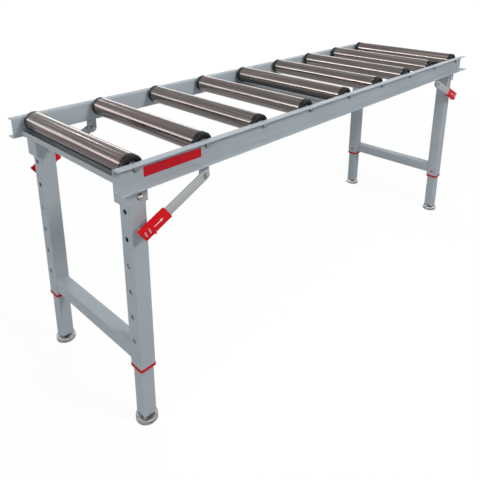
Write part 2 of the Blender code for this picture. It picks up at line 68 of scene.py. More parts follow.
class Wire:
    # one output socket, so that node maths reads as plain Python
    def __init__(self, board, socket):
        self.board = board
        self.socket = socket

    __add__ = nodeMaths("ADD")
    __radd__ = nodeMaths("ADD", swapped=True)
    __sub__ = nodeMaths("SUBTRACT")
    __rsub__ = nodeMaths("SUBTRACT", swapped=True)
    __mul__ = nodeMaths("MULTIPLY")
    __rmul__ = nodeMaths("MULTIPLY", swapped=True)
    __truediv__ = nodeMaths("DIVIDE")
    __rtruediv__ = nodeMaths("DIVIDE", swapped=True)
    __lt__ = nodeMaths("LESS_THAN")
    __gt__ = nodeMaths("GREATER_THAN")


class Board:
    # a node tree, and the one way that nodes get into it
    def __init__(self, tree):
        self.tree = tree

    def add(self, kind, values=None, output=0, **settings):
        node = self.tree.nodes.new(kind)
        for name, value in settings.items():
            setattr(node, name, value)
        for name, value in (values or {}).items():
            self.put(node.inputs[name], value)
        return Wire(self, node.outputs[output])

    def put(self, socket, value):
        if isinstance(value, Wire):
            self.tree.links.new(value.socket, socket)
        else:
            socket.default_value = value


# finishes

def grain(board, scale, detail=2.0, stretch=None):
    place = board.add("ShaderNodeTexCoord", output="Object")
    if stretch:
        place = board.add("ShaderNodeMapping", {"Vector": place, "Scale": stretch})
    return board.add("ShaderNodeTexNoise", {"Vector": place, "Scale": scale, "Detail": detail})


def spread(board, value, low, high, curve="LINEAR"):
    # stretches a part of a value's range to a 0 to 1 mask
    limits = {"Value": value, "From Min": low, "From Max": high}
    return board.add("ShaderNodeMapRange", limits, interpolation_type=curve)


def blendColours(board, mask, first, second):
    tint = [colour if isinstance(colour, Wire) else (*colour, 1) for colour in (first, second)]
    return board.add("ShaderNodeMix", {0: mask, 6: tint[0], 7: tint[1]}, 2, data_type="RGBA")


def bumpOf(board, height, strength, distance):
    return board.add("ShaderNodeBump", {"Strength": strength, "Distance": distance, "Height": height})


def startFinish(name):
    made = bpy.data.materials.new(name)
    made.use_nodes = True
    return made, Board(made.node_tree), made.node_tree.nodes["Principled BSDF"].inputs


paintLook = {"pale": (0.352, 0.388, 0.415), "deep": (0.318, 0.352, 0.381), "rubbed": (0.41, 0.44, 0.46),
             "rubShare": 0.25, "gloss": 0.40, "shine": 0.35, "peel": 620.0}
barLook = {"deep": (0.37, 0.38, 0.385), "pale": (0.43, 0.435, 0.44), "gloss": 0.40, "metal": 0.15}
steelLook = {"deep": (0.126, 0.105, 0.100), "pale": (0.292, 0.248, 0.238), "warm": (0.280, 0.210, 0.206),
             "cool": (0.168, 0.188, 0.166), "bright": (0.57, 0.51, 0.49), "gloss": 0.14, "lineShare": 0.4,
             "tintShare": 0.36, "wornShare": 0.15, "scoreShare": 0.7}


def makeGreyPaint():
    # powder coat: slow cloudiness, orange peel, faint rubbed streaks from handling
    made, board, shader = startFinish("greyPowderCoat")
    cloud = spread(board, grain(board, 5.0, detail=3.0), low=0.30, high=0.70)
    peel = grain(board, paintLook["peel"])
    rubs = spread(board, grain(board, 38.0, detail=4.0, stretch=(1.0, 1.0, 0.25)), low=0.62, high=0.80)
    tone = blendColours(board, cloud, paintLook["deep"], paintLook["pale"])
    tone = blendColours(board, rubs * paintLook["rubShare"], tone, paintLook["rubbed"])
    board.put(shader["Base Color"], tone)
    board.put(shader["Roughness"], paintLook["gloss"] + cloud * 0.06 + peel * 0.05 - rubs * 0.06)
    shader["Specular IOR Level"].default_value = paintLook["shine"]
    board.put(shader["Normal"], bumpOf(board, peel, strength=0.10, distance=0.0002))
    return made


def makeBarGrey():
    # zinc flake paint on rolled flat bar, with the rolling lines along it
    made, board, shader = startFinish("barZincPaint")
    lines = grain(board, 60.0, detail=3.0, stretch=(1.0, 1.0, 14.0))
    flake = grain(board, 1400.0, detail=1.0)
    board.put(shader["Base Color"], blendColours(board, lines, barLook["deep"], barLook["pale"]))
    board.put(shader["Roughness"], barLook["gloss"] + lines * 0.10 + flake * 0.06)
    shader["Metallic"].default_value = barLook["metal"]
    board.put(shader["Normal"], bumpOf(board, lines + flake * 0.5, strength=0.08, distance=0.0002))
    return made


def makeRollerSteel():
    # drawn tube: lines along the roller, slow heat tints and dull bands where stock has run
    made, board, shader = startFinish("drawnRollerSteel")
    lines = grain(board, 420.0, detail=3.0, stretch=(1.0, 0.012, 1.0))
    broad = spread(board, grain(board, 150.0, stretch=(1.0, 0.018, 1.0)), low=0.34, high=0.66)
    tint = spread(board, grain(board, 75.0, detail=3.0, stretch=(1.0, 0.06, 1.0)), low=0.40, high=0.60)
    worn = spread(board, grain(board, 26.0, stretch=(0.05, 1.0, 0.05)), low=0.45, high=0.65)
    scores = spread(board, grain(board, 290.0, detail=1.0, stretch=(1.0, 0.008, 1.0)), low=0.62, high=0.74)
    streaks = broad * (1.0 - steelLook["lineShare"]) + lines * steelLook["lineShare"]
    body = blendColours(board, streaks, steelLook["deep"], steelLook["pale"])
    hue = blendColours(board, tint, steelLook["cool"], steelLook["warm"])
    tone = blendColours(board, steelLook["tintShare"] + worn * steelLook["wornShare"], body, hue)
    tone = blendColours(board, scores * steelLook["scoreShare"], tone, steelLook["bright"])
    board.put(shader["Base Color"], tone)
    board.put(shader["Roughness"], steelLook["gloss"] + lines * 0.06 + worn * 0.04)
    shader["Metallic"].default_value = 1.0
    board.put(shader["Normal"], bumpOf(board, lines, strength=0.02, distance=0.0002))
    return made


def makeZinc(name, bright, dull, gloss):
    # plated steel: spangle, fine turning marks and a duller bloom
    made, board, shader = startFinish(name)
    bloom = spread(board, grain(board, 90.0, detail=3.0), low=0.35, high=0.68)
    fine = grain(board, 1800.0)
    board.put(shader["Base Color"], blendColours(board, bloom, bright, dull))
    board.put(shader["Roughness"], gloss + bloom * 0.12 + fine * 0.05)
    shader["Metallic"].default_value = 1.0
    board.put(shader["Normal"], bumpOf(board, fine, strength=0.06, distance=0.0001))
    return made


def makeMoulded(name, colour, faded, gloss, shine=0.12):
    # injection moulding: fine spark grain, slow gloss change and a slightly faded skin
    made, board, shader = startFinish(name)
    skin = spread(board, grain(board, 45.0, detail=3.0), low=0.35, high=0.70)
    spark = grain(board, 1500.0)
    board.put(shader["Base Color"], blendColours(board, skin * 0.6, colour, faded))
    board.put(shader["Roughness"], gloss + skin * 0.07 + spark * 0.06)
    shader["Specular IOR Level"].default_value = shine
    board.put(shader["Normal"], bumpOf(board, spark, strength=0.10, distance=0.00015))
    return made


greyPaint = makeGreyPaint()
barGrey = makeBarGrey()
rollerSteel = makeRollerSteel()
brightZinc = makeZinc("brightZinc", bright=(0.62, 0.62, 0.63), dull=(0.42, 0.42, 0.43), gloss=0.20)
boltZinc = makeZinc("boltZinc", bright=(0.52, 0.49, 0.47), dull=(0.34, 0.31, 0.30), gloss=0.22)
footZinc = makeZinc("footZinc", bright=(0.45, 0.45, 0.45), dull=(0.32, 0.305, 0.30), gloss=0.27)
# brighter zinc for the foot's rolled rim: partly rubbed wear, partly a painted highlight
rubbedRimHighlightZinc = makeZinc("rubbedRimHighlightZinc", bright=(0.70, 0.70, 0.71), dull=(0.54, 0.54, 0.55), gloss=0.20)
nutZinc = makeZinc("nutZinc", bright=(0.35, 0.345, 0.345), dull=(0.22, 0.22, 0.22), gloss=0.40)
redPlastic = makeMoulded("redMoulding", (0.59, 0.003, 0.007), faded=(0.63, 0.008, 0.012), gloss=0.36)
# the collars' darker red is painted shade: a shaded copy of the grips' red moulding
shadedCollarRed = makeMoulded("shadedRedCollarMoulding", (0.42, 0.003, 0.010), faded=(0.48, 0.010, 0.018), gloss=0.38)
# the ribs' paler red: partly rubbed wear, partly a painted highlight on the raised ribs
rubbedHighlightRed = makeMoulded("rubbedHighlightRedMoulding", (0.72, 0.32, 0.32), faded=(0.62, 0.14, 0.15), gloss=0.30)
blackPlastic = makeMoulded("blackMoulding", (0.010, 0.010, 0.011), faded=(0.019, 0.019, 0.021), gloss=0.42,
                           shine=0.22)
labelFilm = makeMoulded("redFilm", (0.50, 0.005, 0.013), faded=(0.53, 0.008, 0.017), gloss=0.24)
markPaint = makeMoulded("whiteMarkPaint", (0.80, 0.79, 0.78), faded=(0.70, 0.68, 0.67), gloss=0.40)
print("finishes made")


# mesh tools

def placed(name, data):
    thing = bpy.data.objects.new(name, data)
    bpy.context.scene.collection.objects.link(thing)
    return thing


def meshOf(work, name="piece"):
    mesh = bpy.data.meshes.new(name)
    work.to_mesh(mesh)
    work.free()
    return mesh


def fromWork(work, name="piece"):
    bmesh.ops.recalc_face_normals(work, faces=work.faces)
    return placed(name, meshOf(work, name))


def arc(centre, radius, start, sweep, steps):
    turns = [start + sweep * step / steps for step in range(steps + 1)]
    return [(centre[0] + radius * cos(turn), centre[1] + radius * sin(turn)) for turn in turns]


def fillet(points, radii, steps=4):
    # rounds each corner of a closed outline by its own radius
    rounded = []
    for index, radius in enumerate(radii):
        here = Vector(points[index])
        back = (Vector(points[index - 1]) - here).normalized()
        ahead = (Vector(points[(index + 1) % len(points)]) - here).normalized()
        half = back.angle(ahead) / 2
        centre = here + (back + ahead).normalized() * radius / sin(half)
        first = here + back * radius / tan(half) - centre
        last = here + ahead * radius / tan(half) - centre
        start = atan2(first.y, first.x)
        sweep = (atan2(last.y, last.x) - start + pi) % (2 * pi) - pi
        rounded += arc(centre, radius, start, sweep, steps)
    return rounded


def roundRect(centre, size, radius, steps=4):
    x, y = size[0] / 2, size[1] / 2
    points = [(centre[0] + a * x, centre[1] + b * y) for a, b in ((-1, -1), (1, -1), (1, 1), (-1, 1))]
    return fillet(points, [radius] * 4, steps)


def roundSquare(centre, size, radius, steps=6):
    return roundRect(centre, (size, size), radius, steps)


def softenEdges(work, width, segments=2, least=radians(30)):
    sharp = [edge for edge in work.edges if len(edge.link_faces) == 2 and edge.calc_face_angle() > least]
    bmesh.ops.bevel(work, geom=sharp, offset=width, segments=segments, profile=0.5, affect="EDGES",
                    clamp_overlap=True)


def prism(outline, start, end, place=Matrix(), soft=0.0):
    work = bmesh.new()
    face = work.faces.new([work.verts.new((x, y, start)) for x, y in outline])
    grown = bmesh.ops.extrude_face_region(work, geom=[face])["geom"]
    moved = [part for part in grown if isinstance(part, bmesh.types.BMVert)]
    bmesh.ops.translate(work, verts=moved, vec=(0, 0, end - start))
    bmesh.ops.recalc_face_normals(work, faces=work.faces)
    if soft:
        softenEdges(work, soft)
    bmesh.ops.transform(work, matrix=place, verts=work.verts)
    return fromWork(work)


def block(low, high, soft=0.0, place=Matrix()):
    outline = [(low[0], low[1]), (high[0], low[1]), (high[0], high[1]), (low[0], high[1])]
    return prism(outline, low[2], high[2], place, soft)


def atHeight(outline, height):
    return [(x, y, height) for x, y in outline]


def bridged(rings, place=Matrix()):
    # walls from each ring of points to the next, and from the last to the first
    work = bmesh.new()
    loops = [[work.verts.new(point) for point in ring] for ring in rings]
    for first, second in zip(loops, loops[1:] + loops[:1]):
        for index in range(len(first)):
            after = (index + 1) % len(first)
            work.faces.new((first[index], first[after], second[after], second[index]))
    bmesh.ops.transform(work, matrix=place, verts=work.verts)
    return fromWork(work)


def hollow(outer, inner, start, end, place=Matrix()):
    rings = [atHeight(outer, start), atHeight(outer, end), atHeight(inner, end), atHeight(inner, start)]
    return bridged(rings, place)


def lathe(profile, count, place=Matrix()):
    # a closed outline of radius and height, or one that starts and ends on the axis
    work = bmesh.new()
    points = [work.verts.new((radius, 0, height)) for radius, height in profile]
    lines = [work.edges.new(pair) for pair in zip(points, points[1:])]
    if profile[0][0] > 0:
        lines.append(work.edges.new((points[-1], points[0])))
    bmesh.ops.spin(work, geom=points + lines, cent=(0, 0, 0), axis=(0, 0, 1), angle=2 * pi, steps=count,
                   use_merge=True)
    bmesh.ops.remove_doubles(work, verts=work.verts, dist=mergeGap)
    bmesh.ops.transform(work, matrix=place, verts=work.verts)
    return fromWork(work)


def rod(diameter, start, end, place):
    half = diameter / 2
    return lathe([(0, start), (half, start), (half, end), (0, end)], roundSides, place)


def acrossAt(x, z):
    return Matrix.Translation((x, 0, z)) @ alongY


def outwardAt(y, z):
    return Matrix.Translation((0, y, z)) @ alongX


def boreAcross(diameter, start, end, x, z):
    # a cutter along y, past both faces
    return rod(diameter, start - cutPast, end + cutPast, acrossAt(x, z))


def boreOutward(diameter, face, y, z):
    # a cutter along x, through one wall
    return rod(diameter, face - cutDeep, face + cutPast, outwardAt(y, z))


def hexPrism(corner, start, end, place, soft=0.0007):
    outline = [(corner * cos(pi / 3 * step), corner * sin(pi / 3 * step)) for step in range(6)]
    return prism(outline, start, end, place, soft)


def merged(things):
    work = bmesh.new()
    finishes = list(things[0].data.materials)
    for thing in things:
        work.from_mesh(thing.data)
        bpy.data.objects.remove(thing)
    made = placed("piece", meshOf(work))
    for finish in finishes:
        made.data.materials.append(finish)
    return made


def baked(thing):
    # turns what the modifiers make into a plain mesh
    bpy.context.view_layer.update()
    graph = bpy.context.evaluated_depsgraph_get()
    mesh = bpy.data.meshes.new_from_object(thing.evaluated_get(graph))
    thing.modifiers.clear()
    thing.data = mesh
    return thing


def carved(thing, tools):
    step = thing.modifiers.new("carve", "BOOLEAN")
    step.operation = "DIFFERENCE"
    cutter = merged(tools)
    step.object = cutter
    baked(thing)
    bpy.data.objects.remove(cutter)
    return thing


def mirrored(thing, x, y):
    thing.data.transform(Matrix.Diagonal((x, y, 1, 1)))
    if x * y < 0:
        thing.data.flip_normals()
    return thing


def copied(thing, move):
    made = placed(thing.name, thing.data.copy())
    made.data.transform(Matrix.Translation(move))
    return made


def settle(thing, name, finish, body, nodes=(), sharp=32):
    thing.name = name
    thing.data.name = name
    if finish:
        thing.data.materials.clear()
        thing.data.materials.append(finish)
    thing.data.shade_smooth()
    thing.data.set_sharp_from_angle(angle=radians(sharp))
    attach(thing, body)
    if nodes:
        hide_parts(*nodes)
    return thing


# node trees that repeat a shape

def makeGrower(name, inputs, build):
    tree = bpy.data.node_groups.new(name, "GeometryNodeTree")
    tree.interface.new_socket("Geometry", in_out="OUTPUT", socket_type="NodeSocketGeometry")
    tree.interface.new_socket("Geometry", in_out="INPUT", socket_type="NodeSocketGeometry")
    kinds = {**inputs, "Finish": "NodeSocketMaterial"}
    names = {}
    for label, kind in kinds.items():
        names[label] = tree.interface.new_socket(label, in_out="INPUT", socket_type=kind).identifier
    board = Board(tree)
    entry = tree.nodes.new("NodeGroupInput")
    wires = {socket.name: Wire(board, socket) for socket in entry.outputs if socket.name}
    real = board.add("GeometryNodeRealizeInstances", {0: build(board, wires)})
    dressed = board.add("GeometryNodeSetMaterial", {"Geometry": real, "Material": wires["Finish"]})
    board.put(tree.nodes.new("NodeGroupOutput").inputs[0], dressed)
    return tree, names


def grow(thing, grower, values):
    tree, names = grower
    step = thing.modifiers.new(tree.name, "NODES")
    step.node_group = tree
    for label, value in values.items():
        step[names[label]] = value
    return baked(thing)


def atFourCorners(board, wires):
    # one at each corner, turned half round on the near side so that it faces out
    grid = board.add("GeometryNodeMeshGrid", {
        "Size X": wires["Half Length"] * 2.0, "Size Y": wires["Half Width"] * 2.0,
        "Vertices X": 2, "Vertices Y": 2})
    across = board.add("ShaderNodeSeparateXYZ", {0: board.add("GeometryNodeInputPosition")}, "Y")
    turn = board.add("ShaderNodeCombineXYZ", {"Z": (across < 0.0) * pi})
    return board.add("GeometryNodeInstanceOnPoints", {
        "Points": grid, "Instance": wires["Geometry"], "Rotation": turn})


def inARow(board, wires):
    first = (wires["Count"] - 1.0) * wires["Pitch"] * -0.5
    line = board.add("GeometryNodeMeshLine", {
        "Count": wires["Count"],
        "Start Location": board.add("ShaderNodeCombineXYZ", {"X": first}),
        "Offset": board.add("ShaderNodeCombineXYZ", {"X": wires["Pitch"]})}, mode="OFFSET")
    return board.add("GeometryNodeInstanceOnPoints", {"Points": line, "Instance": wires["Geometry"]})


def roundARing(board, wires):
    # the shape points along +X at the ring's radius, and the ring lies flat
    ring = board.add("GeometryNodeMeshCircle", {"Vertices": wires["Count"], "Radius": wires["Radius"]})
    turn = board.add("GeometryNodeInputIndex") * (2 * pi) / wires["Count"]
    spin = board.add("ShaderNodeCombineXYZ", {"Z": turn})
    return board.add("GeometryNodeInstanceOnPoints", {
        "Points": ring, "Instance": wires["Geometry"], "Rotation": spin})


def alongAPath(board, wires):
    # weld ripples: small beads closer together than they are wide
    path = board.add("GeometryNodeMeshToCurve", {"Mesh": wires["Geometry"]})
    dots = board.add("GeometryNodeResampleCurve", {"Curve": path, "Length": wires["Pitch"]}, mode="LENGTH")
    bead = board.add("GeometryNodeMeshUVSphere", {"Segments": 8, "Rings": 5, "Radius": wires["Radius"]})
    return board.add("GeometryNodeInstanceOnPoints", {"Points": dots, "Instance": bead})


lengthKind = "NodeSocketFloat"
countKind = "NodeSocketInt"
cornerGrower = makeGrower("cornerSet", {"Half Length": lengthKind, "Half Width": lengthKind}, atFourCorners)
rowGrower = makeGrower("axleRow", {"Count": countKind, "Pitch": lengthKind}, inARow)
ringGrower = makeGrower("toothRing", {"Count": countKind, "Radius": lengthKind}, roundARing)
weldGrower = makeGrower("weldBead", {"Pitch": lengthKind, "Radius": lengthKind}, alongAPath)
beads = {"tie": {"Radius": 0.0019, "Pitch": 0.0017}, "lug": {"Radius": 0.0016, "Pitch": 0.0015},
         "leg": {"Radius": 0.0017, "Pitch": 0.0016}, "sharp": 80}


def weldLine(name, paths, body, bead):
    work = bmesh.new()
    for path in paths:
        points = [work.verts.new(point) for point in path]
        for pair in zip(points, points[1:]):
            work.edges.new(pair)
    bmesh.ops.remove_doubles(work, verts=work.verts, dist=mergeGap)  # closes the paths that run right round
    thing = grow(placed(name, meshOf(work, name)), weldGrower, {**bead, "Finish": greyPaint})
    return settle(thing, name, None, body, sharp=beads["sharp"])


# rails and ties
rail = {"half": 1.0, "top": 0.821, "bottom": 0.758, "inner": 0.276, "sheet": 0.003, "topEdge": 0.3025,
        "bottomEdge": 0.313, "bend": 0.0045, "tip": 0.0008, "axleZ": 0.805, "hole": 0.0126}
lug = {"x": 0.725, "z": 0.727, "half": 0.017, "inner": 0.288, "outer": 0.292, "bore": 0.0086, "steps": 16,
       "seamInset": 0.002}
tie = {"inX": 0.900, "outX": 0.970, "middle": 0.065, "lip": 0.777, "sheet": 0.003, "reach": 0.2757,
       "bend": 0.0040, "tip": 0.0008, "seamGap": 0.0004, "seamTop": 0.002, "seamTurn": 0.003}
bracket = {"low": 0.704, "inX": 0.898, "outX": 0.964, "earIn": 0.212, "earOut": 0.269, "sheet": 0.003,
           "bend": 0.0042, "tip": 0.0008, "hingeX": 0.922, "hingeZ": 0.722, "bore": 0.0106,
           "seam": (0.902, 0.960), "seamInset": 0.004}


def makeLug(x):
    # hanging plate, round at the bottom, with the bore for a brace's bolt
    middle, z, half, inner, outer = pick(lug, "x z half inner outer")
    top = rail["bottom"] + letIn
    shape = [(middle + half, top), (middle - half, top), *arc((middle, z), half, pi, pi, lug["steps"])]
    plate = prism(shape, inner, outer, uprightXZ)
    return mirrored(carved(plate, [boreAcross(lug["bore"], inner, outer, middle, z)]), x, 1)


def makeRail(side, y):
    inner, sheet, bend, tip = pick(rail, "inner sheet bend tip")
    top, bottom, topEdge, bottomEdge = pick(rail, "top bottom topEdge bottomEdge")
    web, low, high = inner + sheet, bottom + sheet, top - sheet
    points = [(bottomEdge, bottom), (bottomEdge, low), (web, low), (web, high), (topEdge, high),
              (topEdge, top), (inner, top), (inner, bottom)]
    outline = fillet(points, [tip, tip, bend - sheet, bend - sheet, tip, tip, bend, bend])
    channel = prism(outline, -rail["half"], rail["half"], lengthwiseYZ)
    carved(channel, [boreAcross(rail["hole"], inner, web, x, rail["axleZ"]) for x in rollerPlaces.values()])
    lugs = [makeLug(x) for x in ends.values()]
    made = mirrored(merged([channel, *lugs]), 1, y)
    settle(made, f"{side}_rail_channel", greyPaint, "bed", [f"{side}_side_rail"])
    reach = lug["half"] - lug["seamInset"]
    span = (lug["x"] - reach, lug["x"] + reach)
    seams = [[(x * place, y * face, bottom) for place in span]
             for x in ends.values() for face in (lug["inner"], lug["outer"])]
    weldLine(f"{side}_lug_welds", seams, "bed", beads["lug"])


def tieOutline(inX, outX):
    lip, sheet, bend, tip = pick(tie, "lip sheet bend tip")
    low = rail["bottom"]
    high = low + sheet
    points = [(inX, low), (outX, low), (outX, lip), (outX - sheet, lip), (outX - sheet, high),
              (inX + sheet, high), (inX + sheet, lip), (inX, lip)]
    return fillet(points, [bend, bend, tip, tip, bend - sheet, bend - sheet, tip, tip])


def tieSeams(inX, outX, x):
    # up both lips and across the bottom, against each web
    y = rail["inner"] - tie["seamGap"]
    low, top, turn = rail["bottom"], tie["lip"] - tie["seamTop"], tie["seamTurn"]
    path = [(inX, top), (inX, low + turn), (inX + turn, low), (outX - turn, low), (outX, low + turn),
            (outX, top)]
    return [[(x * px, side * y, pz) for px, pz in path] for side in sides.values()]


def makeShoe(side):
    # hinge bracket below the tie: an upright channel, open inwards
    inX, outX, earIn, earOut = pick(bracket, "inX outX earIn earOut")
    sheet, bend, tip = pick(bracket, "sheet bend tip")
    plan = [(inX, earIn), (outX, earIn), (outX, earOut), (inX, earOut), (inX, earOut - sheet),
            (outX - sheet, earOut - sheet), (outX - sheet, earIn + sheet), (inX, earIn + sheet)]
    outline = fillet(plan, [tip, bend, bend, tip, tip, bend - sheet, bend - sheet, tip])
    shoe = prism(outline, bracket["low"], rail["bottom"] + letIn)
    bore = boreAcross(bracket["bore"], earIn, earOut, bracket["hingeX"], bracket["hingeZ"])
    return mirrored(carved(shoe, [bore]), 1, side)


def makeEndTie(end, x):
    channel = prism(tieOutline(tie["inX"], tie["outX"]), -tie["reach"], tie["reach"], uprightXZ)
    shoes = [makeShoe(side) for side in sides.values()]
    made = mirrored(merged([channel, *shoes]), x, 1)
    settle(made, f"{end}_tie_channel", greyPaint, "bed", [f"{end}_end_tie"])
    seams = tieSeams(tie["inX"], tie["outX"], x)
    low = rail["bottom"]
    inset = bracket["seamInset"]
    for side in sides.values():
        for y in (bracket["earIn"], bracket["earOut"]):
            seams.append([(x * place, side * y, low) for place in bracket["seam"]])
        across = (bracket["earIn"] + inset, bracket["earOut"] - inset)
        seams.append([(x * bracket["outX"], side * y, low) for y in across])
    weldLine(f"{end}_tie_welds", seams, "bed", beads["tie"])


for side, y in sides.items():
    makeRail(side, y)
for end, x in ends.items():
    makeEndTie(end, x)
middle = prism(tieOutline(-tie["middle"], tie["middle"]), -tie["reach"], tie["reach"], uprightXZ)
settle(middle, "middle_tie_channel", greyPaint, "bed", ["middle_tie"])
weldLine("middle_tie_welds", tieSeams(-tie["middle"], tie["middle"], 1), "bed", beads["tie"])
print("rails and ties done")


# rollers: tube, black end caps with ribs and locking teeth, and a shielded bearing in each cap
roller = {"radius": 0.031, "wall": 0.002, "end": 0.2665, "band": 0.0150, "gap": 0.0004, "soft": 0.0004,
          "sides": 72}
cap = {"bore": 0.0130, "seat": 0.0215, "recess": 0.0028, "depth": 0.009, "fine": 0.0004, "lipFoot": 0.0008,
       "lipTop": 0.0014, "crown": 0.0022, "crownIn": 0.0008, "crownDrop": 0.0006}
capRib = {"count": 12, "half": 0.0009, "root": 0.001, "below": 0.0010, "start": 0.0004, "shorter": 0.0006,
          "soft": 0.0003}
capTooth = {"count": 20, "half": 0.0021, "root": 0.0012, "proud": 0.00025, "ahead": 0.0030, "behind": 0.0015,
            "soft": 0.0002}
bearing = {"bore": 0.0066, "slack": 0.0001, "recess": 0.0012, "depth": 0.006, "soft": 0.0003, "ring": 0.0018,
           "step": 0.0020, "sunk": 0.0006, "sides": 48}
axle = {"rod": 0.012, "spacer": 0.017, "nut": 0.0085, "nutStart": 0.2793, "nutEnd": 0.2853,
        "spacerStart": 0.2670, "spacerEnd": 0.2757, "soft": 0.0006, "tipIn": 0.0012, "chamfer": 0.001}


def makeRollerTube():
    radius, soft = pick(roller, "radius soft")
    end = roller["end"] - roller["band"] - roller["gap"]
    half = [(radius - roller["wall"], end), (radius - soft, end), (radius, end - soft)]
    profile = half + [(r, -h) for r, h in reversed(half)]
    return lathe(profile, roller["sides"], alongY)


def makeCap():
    radius, end, band, wall = pick(roller, "radius end band wall")
    bore, seat, fine, crown = pick(cap, "bore seat fine crown")
    start, face, back = end - band, end - cap["recess"], end - cap["depth"]
    plug = radius - wall - fine
    profile = [(bore, back), (bore, face), (seat, face), (seat + cap["lipFoot"], end - fine),
               (seat + cap["lipTop"], end), (radius - crown, end),
               (radius - cap["crownIn"], end - cap["crownDrop"]), (radius, end - crown),
               (radius, start + fine), (radius - fine, start), (plug, start), (plug, back)]
    disc = lathe(profile, roller["sides"])
    half, root, soft, count = pick(capRib, "half root soft count")
    rib = block((0, -half, face - root), (seat - bore - capRib["shorter"], half, end - capRib["below"]), soft)
    grow(rib, ringGrower, {"Count": count, "Radius": bore + capRib["start"], "Finish": blackPlastic})
    half, root, soft, count = pick(capTooth, "half root soft count")
    tooth = block((-root, -half, start - capTooth["ahead"]),
                  (capTooth["proud"], half, start + capTooth["behind"]), soft)
    grow(tooth, ringGrower, {"Count": count, "Radius": radius, "Finish": blackPlastic})
    return merged([disc, rib, tooth])


def makeBearing():
    # outer ring, sunk shield and inner ring
    bore, soft, ring, step = pick(bearing, "bore soft ring step")
    outer = cap["bore"] - bearing["slack"]
    end = roller["end"] - bearing["recess"]
    back, shield = end - bearing["depth"], end - bearing["sunk"]
    profile = [(bore, back), (bore, end - soft), (bore + soft, end), (bore + ring, end),
               (bore + step, shield), (outer - step, shield), (outer - ring, end), (outer - soft, end),
               (outer, end - soft), (outer, back)]
    return lathe(profile, bearing["sides"])


def bothEnds(make):
    near = make()
    near.data.transform(Matrix.Rotation(pi / 2, 4, "X"))
    far = make()
    far.data.transform(alongY)
    return merged([near, far])


tubeShape = makeRollerTube()
capShape = bothEnds(makeCap)
bearingShape = bothEnds(makeBearing)
for number, x in rollerPlaces.items():
    body = f"roller_{number}"
    spot = (x, 0, rail["axleZ"])
    settle(copied(tubeShape, spot), f"roller_tube_{number}", rollerSteel, body, [body])
    settle(copied(capShape, spot), f"roller_caps_{number}", blackPlastic, body)
    settle(copied(bearingShape, spot), f"roller_bearings_{number}", brightZinc, body)
for shape in (tubeShape, capShape, bearingShape):
    bpy.data.objects.remove(shape)


def makeAxle():
    half, spacer = axle["rod"] / 2, axle["spacer"] / 2
    start, end, soft, chamfer = pick(axle, "spacerStart spacerEnd soft chamfer")
    tip = axle["nutEnd"] - axle["tipIn"]
    arm = [(half, start), (spacer - soft, start), (spacer, start + soft), (spacer, end), (half, end),
           (half, tip - chamfer), (half - chamfer, tip), (0, tip)]
    profile = [(r, -h) for r, h in reversed(arm)] + arm
    return lathe(profile, roundSides, acrossAt(0, rail["axleZ"]))


def makeAxleNuts():
    spans = [sorted((y * axle["nutStart"], y * axle["nutEnd"])) for y in sides.values()]
    return merged([hexPrism(axle["nut"], *span, acrossAt(0, rail["axleZ"])) for span in spans])


row = {"Count": len(rollerPlaces), "Pitch": rollerPitch}
axles = grow(makeAxle(), rowGrower, {**row, "Finish": brightZinc})
settle(axles, "axle_rods", None, "bed", [f"roller_axle_{number}" for number in rollerPlaces])
nuts = grow(makeAxleNuts(), rowGrower, {**row, "Finish": nutZinc})
settle(nuts, "axle_nuts", None, "bed")
print("rollers and axles done")


# leg frames and their hinge bolts
leg = {"x": 0.926, "y": 0.2405, "tube": 0.050, "wall": 0.0025, "round": 0.0045, "leastRound": 0.0008,
       "top": 0.740, "bottom": 0.198, "hole": 0.015, "topHole": 0.679, "pitch": 0.079, "holes": 6,
       "cross": 0.045, "crossLow": 0.210, "crossIn": 0.0015, "vent": 0.008, "seamGap": 0.0003,
       "window": (0.0126, 0.0086), "windowZ": 0.219}
stud = {"diameter": 0.012, "z": 0.6293, "end": 0.2891, "root": 0.001, "soft": 0.0008, "seam": 0.0062,
        "steps": 20}
bolt = {"ear": 0.0288, "shank": 0.010, "head": 0.0085, "height": 0.009, "nut": 0.008, "tail": 0.0005,
        "chamfer": 0.0008, "soft": 0.0003, "edge": 0.0005, "band": 0.0012, "steps": 12, "sides": 40}
legCentre = (leg["x"], leg["y"])
legHalf = leg["tube"] / 2


def squareTube(centre, size, wall, radius, start, end, place=Matrix()):
    outer = roundSquare(centre, size, radius)
    inner = roundSquare(centre, size - 2 * wall, max(radius - wall, leg["leastRound"]))
    return hollow(outer, inner, start, end, place)


def windowBlock(startX, endX, size, soft=0.0):
    # a block in the window of the leg's inner face
    wide, tall = size[0] / 2, size[1] / 2
    return block((startX, leg["y"] - wide, leg["windowZ"] - tall),
                 (endX, leg["y"] + wide, leg["windowZ"] + tall), soft)


def makeUpright():
    # one outer leg with its hole row, hinge bore and the window for the collar's snap lug
    tube = squareTube(legCentre, leg["tube"], leg["wall"], leg["round"], leg["bottom"], leg["top"])
    bores = [boreOutward(leg["hole"], leg["x"] + legHalf, leg["y"], leg["topHole"] - number * leg["pitch"])
             for number in range(leg["holes"])]
    bores.append(boreAcross(bracket["bore"], leg["y"] - legHalf, leg["y"] + legHalf, bracket["hingeX"],
                            bracket["hingeZ"]))
    face = leg["x"] - legHalf
    bores.append(windowBlock(face - cutPast, face + cutDeep, leg["window"]))
    return carved(tube, bores)


def makeStud():
    start = leg["y"] + legHalf - stud["root"]
    radius, end, soft = stud["diameter"] / 2, stud["end"], stud["soft"]
    profile = [(0, start), (radius, start), (radius, end - soft), (radius - soft, end), (0, end)]
    return lathe(profile, roundSides, acrossAt(leg["x"], stud["z"]))


